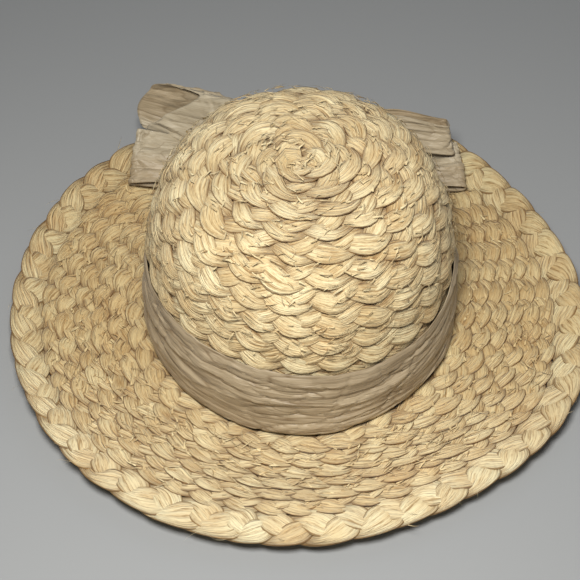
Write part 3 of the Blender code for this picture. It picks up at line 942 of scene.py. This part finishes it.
def ribbon(name, pale, dark, crease_length, crease_width, marked):
    """Creased ribbon of straw fibre: fine lengthwise fibres, long sharp creases darkened with painted shade,
    painted shade where the piece's painted light is low, and a slight sheen.

    marked is how strongly the creases show, in the bump and in their painted shade.
    """
    finish = Finish(name)
    uv = finish.node("ShaderNodeUVMap")
    fibres = finish.grain(uv, 90.0, 2600.0)
    folded = finish.grain(uv, 1.0 / crease_length, 1.0 / crease_width, detail=2.0, roughness=0.5)
    smaller = finish.grain(uv, 2.2 / crease_length, 3.0 / crease_width)
    patches = finish.grain(uv, 38.0, 120.0)
    lit = finish.node("ShaderNodeAttribute", {"attribute_name": "tone"}, 2)
    # A crease runs where the stretched noise passes its middle value
    sharp = (folded - 0.5).math("ABSOLUTE")
    fine = (smaller - 0.5).math("ABSOLUTE")
    groove_shade = finish.fade(sharp, 0.0, 0.020, 1.0, 0.0)
    scratch_shade = finish.fade(fine, 0.0, 0.035, 1.0, 0.0)
    base = finish.ramp(smaller * 0.35 + patches * 0.35 + folded * 0.3, (0.36, dark), (0.62, pale))
    base = finish.mix("MULTIPLY", 0.6, base, finish.ramp(fibres, (0.34, RIBBON_FIBRE), (0.56, WHITE)))
    # Painted shade in the creases
    base = finish.mix("MULTIPLY", (groove_shade * 0.6 + scratch_shade * 0.2) * marked, base, RIBBON_CREASE_SHADE)
    # Painted shade where the piece's painted light is low: inside the puffed loop and on parts of the flat
    # loops
    base = finish.mix("MULTIPLY", (1.0 - lit) * 1.6, base, RIBBON_PAINTED_SHADE)
    height = fibres * 0.15 * marked + sharp.math("MINIMUM", 0.12) * 8.0
    height = height + fine.math("MINIMUM", 0.08) * 2.5 * marked
    bump = finish.node("ShaderNodeBump", Height=height, Strength=0.9, Distance=0.0009)
    finish.set(Base_Color=base, Roughness=0.38 + 0.2 * fibres, Normal=bump)
    finish.set(Specular_IOR_Level=0.4, Sheen_Weight=0.1)
    return finish.made


def dress(piece, finish, slot, *nodes):
    """Gives a piece its finish, hangs it under the hat's root body and hides the nodes of the solids that it
    stands for.
    """
    piece.data.materials.clear()
    piece.data.materials.append(finish)
    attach(piece, "root")
    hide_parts(*nodes)
    return piece


# The hat's pieces

# Each straw's third colour is the painted shade of its hollows, and its last argument sets its painted shade
# towards the sides and back
crown_straw = straw("crown straw", (0.96, 0.82, 0.50), (0.73, 0.54, 0.27), (0.42, 0.28, 0.15), falloff_shade=0.12)
brim_straw = straw("brim straw", (0.97, 0.82, 0.49), (0.74, 0.54, 0.27), (0.42, 0.27, 0.13), falloff_shade=1.0)
rim_straw = straw("rim straw", (0.97, 0.86, 0.55), (0.78, 0.60, 0.33), (0.48, 0.34, 0.19), falloff_shade=1.0)

dress(make_crown_plait(), crown_straw, "straw", "crown")
dress(make_brim_plait(), brim_straw, "straw", "brim")
dress(make_rim_plait(), rim_straw, "straw_rim", "rim_braid")

for name, count, seed, where, length, thick, lift, finish, slot in (
    ("crown_strays", 260, 201, stray_on_crown, 0.008, 0.00055, 0.22, crown_straw, "straw"),
    ("crown_bits", 700, 211, stray_on_crown, 0.005, 0.0010, 0.12, crown_straw, "straw"),
    ("brim_strays", 330, 202, stray_on_brim, 0.008, 0.00055, 0.22, brim_straw, "straw"),
    ("brim_bits", 900, 212, stray_on_brim, 0.005, 0.0010, 0.12, brim_straw, "straw"),
    ("rim_strays", 60, 203, stray_on_rim, 0.008, 0.00035, 0.3, rim_straw, "straw_rim"),
):
    dress(make_strays(name, count, seed, where, length, thick, lift), finish, slot)

band_ribbon = ribbon("band ribbon", (0.52, 0.42, 0.28), (0.30, 0.225, 0.135), 0.085, 0.012, marked=1.0)
bow_ribbon = ribbon("bow ribbon", (0.58, 0.505, 0.37), (0.41, 0.345, 0.235), 0.040, 0.012, marked=0.6)

band = dress(make_band(), band_ribbon, "ribbon", "band")
dress(make_knot(), bow_ribbon, "ribbon_bow", "bow_knot")
for number, values in enumerate(LOOPS):
    loop, flat = make_loop(*values, seed=60 + 9 * number)
    dress(loop, bow_ribbon, "ribbon_bow", values[0])
funnel = dress(make_funnel_loop(), bow_ribbon, "ribbon_bow", "bow_loop_upper_left")


# Stage

FLOOR_SIZE = 6.0
FLOOR_GREY = (0.33, 0.337, 0.34)
SKY_TINT = (0.92, 0.95, 1.0, 1.0)
SKY_STRENGTH = 0.12
CAMERA_LENS = 89.4
CAMERA_SENSOR = 36.0
CAMERA_PLACE = (-0.0058, -0.5639, 0.6243)
CAMERA_AIM = (-0.0058, 0.0130, 0.0)


def turn_towards(holder, target):
    """Turns a lamp or the camera so that it looks at a point."""
    holder.rotation_euler = (Vector(target) - holder.location).to_track_quat("-Z", "Y").to_euler()


def make_floor():
    bpy.ops.object.select_all(action="DESELECT")
    bpy.ops.mesh.primitive_plane_add(size=FLOOR_SIZE, location=(0.0, 0.0, 0.0))
    floor = bpy.context.object
    floor.name = "floor"
    paint = Finish("floor grey")
    paint.set(Base_Color=FLOOR_GREY, Roughness=0.7)
    floor.data.materials.append(paint.made)


def make_lamp(name, size, power, place, target, color):
    light = bpy.data.lights.new(name, "AREA")
    light.shape = "SQUARE"
    light.size = size
    light.energy = power
    light.color = color
    holder = bpy.data.objects.new(name, light)
    bpy.context.scene.collection.objects.link(holder)
    holder.location = place
    turn_towards(holder, target)


def make_camera():
    lens = bpy.data.cameras.new("camera")
    lens.lens = CAMERA_LENS
    lens.sensor_width = CAMERA_SENSOR
    camera = bpy.data.objects.new("camera", lens)
    bpy.context.scene.collection.objects.link(camera)
    camera.location = Vector(CAMERA_PLACE) + AXIS
    turn_towards(camera, Vector(CAMERA_AIM) + AXIS)
    bpy.context.scene.camera = camera


def make_stage():
    make_floor()
    scene = bpy.context.scene
    scene.world = scene.world or bpy.data.worlds.new("studio")
    scene.world.use_nodes = True
    sky = scene.world.node_tree.nodes["Background"]
    sky.inputs[0].default_value = SKY_TINT
    sky.inputs[1].default_value = SKY_STRENGTH
    scene.view_settings.view_transform = "Standard"
    make_lamp("key", 0.18, 6.8, (-0.05, -0.39, 0.70), (0.0, -0.05, 0.05), (1.0, 0.985, 0.95))
    make_lamp("fill", 1.0, 1.2, (0.5, 0.7, 1.1), (0.0, 0.0, 0.05), (0.95, 0.97, 1.0))
    make_camera()


make_stage()
